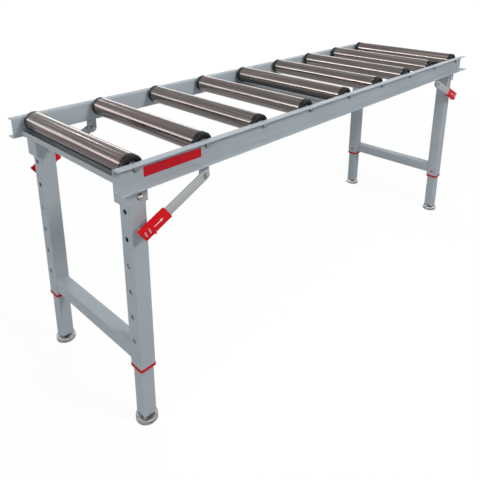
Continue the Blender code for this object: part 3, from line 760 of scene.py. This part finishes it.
def makeLegFrame(end, x):
    parts = []
    for y in sides.values():
        parts.append(mirrored(makeUpright(), 1, y))
        parts.append(mirrored(makeStud(), 1, y))
    face = leg["y"] - legHalf
    reach = face + leg["crossIn"]
    low = leg["crossLow"]
    centre = (leg["x"], low + leg["cross"] / 2)
    cross = squareTube(centre, leg["cross"], leg["wall"], leg["round"], -reach, reach, uprightXZ)
    vents = [rod(leg["vent"], low - cutPast, low + cutDeep,
                 Matrix.Translation((leg["x"], y * (reach - leg["cross"]), 0))) for y in sides.values()]
    parts.append(carved(cross, vents))
    made = mirrored(merged(parts), x, 1)
    settle(made, f"{end}_leg_tubes", greyPaint, f"{end}_legs", [f"{end}_leg_frame"])
    square = roundSquare(centre, leg["cross"], leg["round"], 4)
    circle = arc((leg["x"], stud["z"]), stud["seam"], 0, 2 * pi, stud["steps"])
    paths = ((square + square[:1], face - leg["seamGap"]), (circle, leg["y"] + legHalf))
    seams = [[(x * px, y * away, pz) for px, pz in path] for y in sides.values() for path, away in paths]
    weldLine(f"{end}_leg_welds", seams, f"{end}_legs", beads["leg"])


def makeHingeBolt():
    # seen from the corner's own centre, with the domed head outwards and a nut inside
    seat, head, height, band, nut, chamfer = pick(bolt, "ear head height band nut chamfer")
    shank = bolt["shank"] / 2
    tail = -seat - nut - bolt["tail"]
    profile = [(0, tail), (shank - chamfer, tail), (shank, tail + chamfer), (shank, seat),
               (head - bolt["soft"], seat), (head, seat + bolt["edge"])]
    for step in range(1, bolt["steps"]):
        turn = pi / 2 * step / bolt["steps"]
        profile.append((head * cos(turn), seat + band + (height - band) * sin(turn)))
    profile.append((0, seat + height))
    lift = acrossAt(0, bracket["hingeZ"])
    return merged([lathe(profile, bolt["sides"], lift), hexPrism(head, -seat - nut, -seat, lift)])


for end, x in ends.items():
    makeLegFrame(end, x)
hinges = grow(makeHingeBolt(), cornerGrower, {
    "Half Length": bracket["hingeX"], "Half Width": leg["y"], "Finish": boltZinc})
settle(hinges, "hinge_bolt_set", None, "bed", [f"{corner}_hinge_bolt" for corner in corners])
print("leg frames done")


# telescopic legs, collars, buttons and feet
innerLeg = {"tube": 0.042, "wall": 0.002, "round": 0.0040, "bottom": 0.0255, "top": 0.549, "plate": 0.004,
            "plateIn": 0.001, "plateRound": 0.003, "stem": 0.0146, "button": 0.0136, "buttonZ": 0.521}
collar = {"top": 0.1977, "bottom": 0.1882, "rim": 0.053, "round": 0.0058, "bore": 0.0426, "boreRound": 0.0042,
          "sleeve": 0.0444, "sleeveRound": 0.0020, "sleeveTop": 0.2327, "soft": 0.0010, "lug": (0.012, 0.008),
          "lugShort": 0.0003, "lugSoft": 0.0006}
button = {"back": 0.9432, "wall": 0.9447, "head": 0.0048, "shoulder": 0.0095, "stem": 0.0025,
          "stemLength": 0.008, "tip": 0.9506, "dome": 0.0016, "steps": 6}
foot = {"radius": 0.0325, "height": 0.016, "edge": 0.002, "edgeIn": 0.0006, "roll": 0.0014, "rollIn": 0.0005,
        "rollDrop": 0.0004, "rim": 0.004, "lip": 0.0010, "lipDrop": 0.0006, "dish": 0.011, "slope": 0.001,
        "slopeRise": 0.0012, "stem": 0.007, "flare": 0.004, "flareTop": 0.0008, "flareRise": 0.0010,
        "stemTop": 0.0695, "stemTip": 0.0010, "thread": 0.0020, "depth": 0.0007, "nut": 0.013,
        "nutLow": 0.0150, "nutHigh": 0.0250, "nutSoft": 0.0009, "slack": 0.0002, "sides": 56}


def makeInnerLeg():
    size, wall, bottom = pick(innerLeg, "tube wall bottom")
    tube = squareTube(legCentre, size, wall, innerLeg["round"], bottom, innerLeg["top"])
    carved(tube, [boreOutward(innerLeg["button"], leg["x"] + size / 2, leg["y"], innerLeg["buttonZ"])])
    room = size - 2 * wall + innerLeg["plateIn"]
    top = bottom + innerLeg["plate"]
    plate = prism(roundSquare(legCentre, room, innerLeg["plateRound"], 4), bottom, top)
    stem = rod(innerLeg["stem"], bottom - cutPast, top + cutPast, Matrix.Translation((*legCentre, 0)))
    return merged([tube, carved(plate, [stem])])


def makeCollar():
    # rim below the outer tube, hidden sleeve and the snap lug in the tube's window
    low, high, soft = pick(collar, "bottom top soft")
    bore = roundSquare(legCentre, collar["bore"], collar["boreRound"])
    rings = []
    for height, less in ((low, soft), (low + soft, 0.0), (high - soft, 0.0), (high, soft)):
        rings.append(atHeight(roundSquare(legCentre, collar["rim"] - 2 * less, collar["round"]), height))
    rim = bridged([*rings, atHeight(bore, high), atHeight(bore, low)])
    around = roundSquare(legCentre, collar["sleeve"], collar["sleeveRound"])
    sleeve = hollow(around, bore, high - soft, collar["sleeveTop"])
    catch = windowBlock(leg["x"] - legHalf, leg["x"] - collar["bore"] / 2 - collar["lugShort"], collar["lug"],
                        collar["lugSoft"])
    return merged([rim, sleeve, catch])


def makeButton():
    head, back, wall, stem, shoulder, tip = pick(button, "head back wall stem shoulder tip")
    start = back - button["stemLength"]
    profile = [(0, start), (stem, start), (stem, back), (shoulder, back), (shoulder, wall), (head, wall)]
    for step in range(button["steps"]):
        turn = pi / 2 * step / button["steps"]
        profile.append((head * cos(turn), tip - button["dome"] * (1 - sin(turn))))
    profile.append((0, tip))
    return lathe(profile, roundSides, outwardAt(leg["y"], innerLeg["buttonZ"]))


def makeFoot():
    # dished disc with a rolled rim, a threaded stem and its lock nut under the leg
    radius, height, dish, stem, rim = pick(foot, "radius height dish stem rim")
    edge, edgeIn, roll, slope = pick(foot, "edge edgeIn roll slope")
    thread, top = pick(foot, "thread stemTop")
    ledge = radius - rim
    bowl = ledge - rim
    profile = [(0, 0), (radius - edge, 0), (radius - edgeIn, edgeIn), (radius, edge), (radius, height - roll),
               (radius - foot["rollIn"], height - foot["rollDrop"]), (radius - roll, height),
               (ledge + foot["lip"], height), (ledge, height - foot["lipDrop"]),
               (bowl + slope, dish + foot["slopeRise"]), (bowl - slope, dish), (stem + foot["flare"], dish),
               (stem + foot["flareTop"], dish + foot["flareRise"])]
    rise = dish + thread
    while rise < top - thread:
        profile += [(stem, rise), (stem - foot["depth"], rise + thread / 2)]
        rise += thread
    profile += [(stem - foot["stemTip"], top), (0, top)]
    place = Matrix.Translation((*legCentre, 0))
    disc = lathe(profile, foot["sides"], place)
    disc.data.materials.append(footZinc)
    disc.data.materials.append(rubbedRimHighlightZinc)
    for face in disc.data.polygons:
        out = (face.center.xy - Vector(legCentre)).length
        if out > ledge - foot["slack"] and face.center.z > height - roll:
            face.material_index = 1  # the rolled rim gets brighter zinc: partly rubbed wear, partly a painted highlight
    nut = hexPrism(foot["nut"], foot["nutLow"], foot["nutHigh"], place, foot["nutSoft"])
    return merged([disc, nut])


for corner, (x, y) in corners.items():
    end = corner.split("_")[1]
    for name, make, finish, part, slot in (
            ("leg_slide", makeInnerLeg, greyPaint, "inner_leg", "grey_paint"),
            ("red_collar", makeCollar, shadedCollarRed, "glide_collar", "red_plastic"),
            ("height_button", makeButton, brightZinc, "spring_button", "bright_zinc"),
            ("foot_disc", makeFoot, None, "levelling_foot", "bright_zinc")):
        node = f"{corner}_{part}"
        body = f"{end}_legs" if make is makeCollar else node
        settle(mirrored(make(), x, y), f"{corner}_{name}", finish, body, [node])
print("telescopic legs and feet done")


# braces: flat bars, red release grips and their pivot bolts
brace = {"x": 0.725, "y": 0.295, "z": 0.727, "angle": radians(25), "half": 0.015, "thick": 0.005,
         "length": 0.234, "bore": 0.0086, "soft": 0.0007, "steps": 20}
grip = {"length": 0.092, "past": 0.005, "width": 0.038, "thick": 0.011, "slant": 0.008, "soft": 0.0012,
        "round": 0.0013, "slip": 0.0003, "through": 0.02}
gripRib = {"count": 2, "end": 0.0105, "pitch": 0.0135, "width": 0.005, "length": 0.015, "height": 0.002,
           "root": 0.0003, "soft": 0.0012}
pocket = {"depth": 0.0020, "half": 0.0042, "low": -0.0160, "high": 0.0090}
spur = {"start": 0.038, "length": 0.0095, "height": 0.0062, "root": 0.001, "point": 0.002, "inShare": 0.6,
        "soft": 0.0004}
arrow = {"middle": 0.181, "tail": 0.018, "neck": 0.004, "point": 0.013, "shaft": 0.0010, "wing": 0.0038,
         "film": 0.0002}
pivot = {"head": 0.007, "start": 0.2980, "height": 0.007, "nutEnd": 0.2877, "shank": 0.004, "past": 0.001,
         "chamfer": 0.0006, "soft": 0.0009, "sides": 24}
# the bar's own frame: along it, outwards, up across it
barFrame = Matrix.Translation((brace["x"], brace["y"], brace["z"])) @ Matrix.Rotation(brace["angle"], 4, "Y")
gripEnd = brace["length"] + grip["past"]
gripFace = grip["thick"] / 2


def barBlock(low, high, soft=0.0):
    return block(low, high, soft, barFrame)


def barPrism(outline, start, end, soft=0.0):
    return prism(outline, start, end, barFrame @ uprightXZ, soft)


def makeBar():
    x, y, z, half = pick(brace, "x y z half")
    thick = brace["thick"] / 2
    outline = arc((0, 0), half, pi / 2, pi, brace["steps"])
    outline += [(brace["length"], -half), (brace["length"], half)]
    bar = barPrism(outline, -thick, thick, brace["soft"])
    return carved(bar, [boreAcross(brace["bore"], y - thick, y + thick, x, z)])


def ribSpots():
    return [gripEnd - gripRib["end"] - number * gripRib["pitch"] for number in range(gripRib["count"])]


def makeGrip():
    start = gripEnd - grip["length"]
    half, lean = grip["width"] / 2, grip["slant"] / 2
    outline = [(start - lean, -half), (gripEnd - lean, -half), (gripEnd + lean, half), (start + lean, half)]
    sleeve = barPrism(fillet(outline, [grip["round"]] * 4), -gripFace, gripFace, grip["soft"])
    thick, wide = brace["thick"] / 2 + grip["slip"], brace["half"] + grip["slip"]
    through = grip["through"]
    carved(sleeve, [barBlock((start - through, -thick, -wide), (gripEnd + through, thick, wide))])
    floor = gripFace - pocket["depth"]
    carved(sleeve, [barBlock((spot - pocket["half"], floor, pocket["low"]),
                             (spot + pocket["half"], gripFace + cutPast, pocket["high"]))
                    for spot in ribSpots()])
    # small thumb spur on the lower edge, steep on its upper side
    root = gripEnd - spur["start"]
    base, low = spur["root"] - half, -half - spur["height"]
    hook = [(root, base), (root + spur["length"], base), (root + spur["point"], low), (root, low)]
    thumb = barPrism(hook, -gripFace * spur["inShare"], gripFace - grip["soft"], spur["soft"])
    return merged([sleeve, thumb])


def makeGripRibs():
    wide = gripRib["width"] / 2
    long = gripRib["length"] / 2
    start = gripFace - pocket["depth"] - gripRib["root"]
    end = gripFace + gripRib["height"]
    return merged([barBlock((spot - wide, start, -long), (spot + wide, end, long), gripRib["soft"])
                   for spot in ribSpots()])


def makeGripMark():
    # plain arrow, the way the grip is pulled
    middle, shaft, wing, film = pick(arrow, "middle shaft wing film")
    tail, neck, point = middle + arrow["tail"], middle - arrow["neck"], middle - arrow["point"]
    outline = [(tail, -shaft), (tail, shaft), (neck, shaft), (neck, wing), (point, 0.0), (neck, -wing),
               (neck, -shaft)]
    return barPrism(outline, gripFace - film, gripFace + film)


def makePivotBolt():
    # seen from the bar's middle plane, with the head outwards and a nut behind the lug
    lift = acrossAt(0, brace["z"])
    size, height, radius, chamfer, soft = pick(pivot, "head height shank chamfer soft")
    head = pivot["start"] - brace["y"]
    nutEnd = pivot["nutEnd"] - brace["y"]
    nutStart = nutEnd - height
    tail = nutStart - pivot["past"]
    top = head + pivot["past"]
    profile = [(0, tail), (radius - chamfer, tail), (radius, tail + chamfer), (radius, top), (0, top)]
    return merged([lathe(profile, pivot["sides"], lift), hexPrism(size, head, head + height, lift, soft),
                   hexPrism(size, nutStart, nutEnd, lift, soft)])


for corner, (x, y) in corners.items():
    settle(mirrored(makeBar(), x, y), f"{corner}_flat_bar", barGrey, f"{corner}_brace_bar",
           [f"{corner}_brace_bar"])
    body = f"{corner}_brace_grip"
    settle(mirrored(makeGrip(), x, y), f"{corner}_release_grip", redPlastic, body, [body])
    settle(mirrored(makeGripRibs(), x, y), f"{corner}_grip_ribs", rubbedHighlightRed, body)
    settle(mirrored(makeGripMark(), x, y), f"{corner}_grip_arrow", markPaint, body)
pivots = grow(makePivotBolt(), cornerGrower, {
    "Half Length": brace["x"], "Half Width": brace["y"], "Finish": boltZinc})
settle(pivots, "pivot_bolt_set", None, "bed", [f"{corner}_brace_pivot_bolt" for corner in corners])
print("braces done")


# plain red film on the near rail
label = {"left": -0.914, "right": -0.724, "low": 0.7750, "high": 0.8020, "round": 0.0015, "film": 0.0004,
         "root": 0.0002}
labelSize = (label["right"] - label["left"], label["high"] - label["low"])
labelCentre = ((label["left"] + label["right"]) / 2, (label["low"] + label["high"]) / 2)
labelOutline = roundRect(labelCentre, labelSize, label["round"])
webFace = -rail["inner"] - rail["sheet"]
plate = prism(labelOutline, webFace - label["film"], webFace + label["root"], uprightXZ)
settle(plate, "near_rail_label", labelFilm, "bed")


# studio: pale floor, soft lamps, and a pale surround that metal shows too
studio = {"white": 1.08, "surround": 0.40, "surroundTint": (0.90, 0.96, 1.0), "horizon": 0.02,
          "ceiling": 0.62, "riseStart": 0.06, "riseEnd": 0.45, "ring": 3.4, "ringHeight": 0.15,
          "ringWidth": 0.12, "wings": 1.80, "wingAway": 0.48, "wingWidth": 0.24, "wingHeight": 0.36,
          "wingTilt": 0.20, "wingSpan": 0.26, "floorShade": 0.55, "floorClear": 0.84, "floorSheen": 0.15,
          "floorRadius": 40.0, "floorSides": 64, "floorDrop": 0.0004, "fadeStart": 2.2, "fadeEnd": 6.0}


def rayMasks(board):
    # seen by the camera, and seen in metal or glass
    rays = ("Is Camera Ray", "Is Glossy Ray", "Is Transmission Ray")
    straight, glossy, through = [board.add("ShaderNodeLightPath", output=ray) for ray in rays]
    return straight, glossy + through


def bandOf(board, value, middle, width):
    # 1 in the middle of a band, fading out to its edges
    away = board.add("ShaderNodeMath", {0: value - middle}, operation="ABSOLUTE")
    return spread(board, away, width, 0.0, "SMOOTHSTEP")


def makeSurround():
    world = bpy.data.worlds.new("studioSurround")
    world.use_nodes = True
    bpy.context.scene.world = world
    board = Board(world.node_tree)
    place = board.add("ShaderNodeTexCoord", output="Generated")
    sideways, away, height = [board.add("ShaderNodeSeparateXYZ", {0: place}, axis) for axis in "XYZ"]
    ring = bandOf(board, height, studio["ringHeight"], studio["ringWidth"])
    rise = spread(board, height, studio["riseStart"], studio["riseEnd"], "SMOOTHSTEP")
    # a brighter stretch on the far side, which the far rollers show
    slope = studio["wingHeight"] + sideways * studio["wingTilt"]
    wings = bandOf(board, away, studio["wingAway"], studio["wingWidth"])
    wings = wings * bandOf(board, height, slope, studio["wingSpan"])
    straight, inMetal = rayMasks(board)
    pale = 1.0 - rise * (1.0 - studio["ceiling"])
    rest = 1.0 - straight - inMetal
    above = spread(board, height, -studio["horizon"], studio["horizon"])
    light = rest * above * studio["surround"] + straight * studio["white"]
    light = light + inMetal * (pale + ring * studio["ring"]) * (1.0 + wings * studio["wings"])
    sky = world.node_tree.nodes["Background"]
    board.put(sky.inputs["Color"], blendColours(board, rest, (1.0, 1.0, 1.0), studio["surroundTint"]))
    board.put(sky.inputs["Strength"], light)


def makeFloor():
    work = bmesh.new()
    bmesh.ops.create_circle(work, cap_ends=True, segments=studio["floorSides"], radius=studio["floorRadius"])
    floor = fromWork(work, "studio_floor")
    floor.data.transform(Matrix.Translation((0, 0, -studio["floorDrop"])))
    made, board, shader = startFinish("paleFloor")
    shade = studio["floorShade"]
    shader["Base Color"].default_value = (shade, shade, shade, 1)
    shader["Roughness"].default_value = 1.0
    shader["Specular IOR Level"].default_value = 0.0
    matt = Wire(board, made.node_tree.nodes["Principled BSDF"].outputs[0])
    glow = board.add("ShaderNodeEmission", {"Strength": 1.0})
    clear = board.add("ShaderNodeBsdfTransparent")
    shadow = board.add("ShaderNodeLightPath", output="Is Shadow Ray")
    straight, inMetal = rayMasks(board)
    place = board.add("ShaderNodeTexCoord", output="Object")
    distance = board.add("ShaderNodeVectorMath", {0: place}, "Value", operation="LENGTH")
    fade = spread(board, distance, studio["fadeStart"], studio["fadeEnd"], "SMOOTHSTEP")
    # the camera sees the white surround through it, so legs drawn out below it show too
    through = studio["floorClear"] + fade * (1.0 - studio["floorClear"])
    pale = board.add("ShaderNodeMixShader", {0: inMetal * studio["floorSheen"], 1: matt, 2: glow})
    mix = board.add("ShaderNodeMixShader", {0: straight * through + shadow, 1: pale, 2: clear})
    board.put(made.node_tree.nodes["Material Output"].inputs["Surface"], mix)
    floor.data.materials.append(made)


lamps = {
    "keyLamp": {"spot": (0.1, -2.5, 2.4), "aim": (0, 0, 0.5), "size": 0.5, "power": 45.0},
    "fillLamp": {"spot": (-6.4, -1.4, 3.4), "aim": (0, 0, 0.5), "size": 3.2, "power": 150.0},
    "topLamp": {"spot": (0.0, -1.2, 5.2), "aim": (0, 0, 0.6), "size": 3.0, "power": 45.0},
    "rimLamp": {"spot": (0.0, 6.0, 4.6), "aim": (-0.9, 0, 0.8), "size": 0.6, "power": 5.5},
    "backLamp": {"spot": (2.6, 6.0, 4.4), "aim": (0, 0, 0.5), "size": 4.0, "power": 260.0, "hidden": True},
}


def makeLamps():
    for name, lamp in lamps.items():
        light = bpy.data.lights.new(name, "AREA")
        light.shape = "DISK"
        light.size = lamp["size"]
        light.energy = lamp["power"]
        thing = placed(name, light)
        thing.location = lamp["spot"]
        heading = Vector(lamp["aim"]) - Vector(lamp["spot"])
        thing.rotation_euler = heading.to_track_quat("-Z", "Y").to_euler()
        thing.visible_glossy = not lamp.get("hidden", False)  # keeps its disc out of the rollers


view = {"spot": (-1.5982, -1.2755, 1.3000), "yaw": 45.818, "pitch": 17.38, "lens": 39.075, "sensor": 36.0,
        "shift": -0.255, "nearest": 0.05, "farthest": 200.0}


def makeCamera():
    lens = bpy.data.cameras.new("photoView")
    lens.lens = view["lens"]
    lens.sensor_width = view["sensor"]
    lens.shift_y = view["shift"]
    lens.clip_start = view["nearest"]
    lens.clip_end = view["farthest"]
    camera = placed("photoView", lens)
    camera.location = view["spot"]
    camera.rotation_euler = (radians(90 - view["pitch"]), 0, radians(-view["yaw"]))
    bpy.context.scene.camera = camera


makeSurround()
makeFloor()
makeLamps()
makeCamera()
bpy.context.scene.view_settings.view_transform = "Standard"
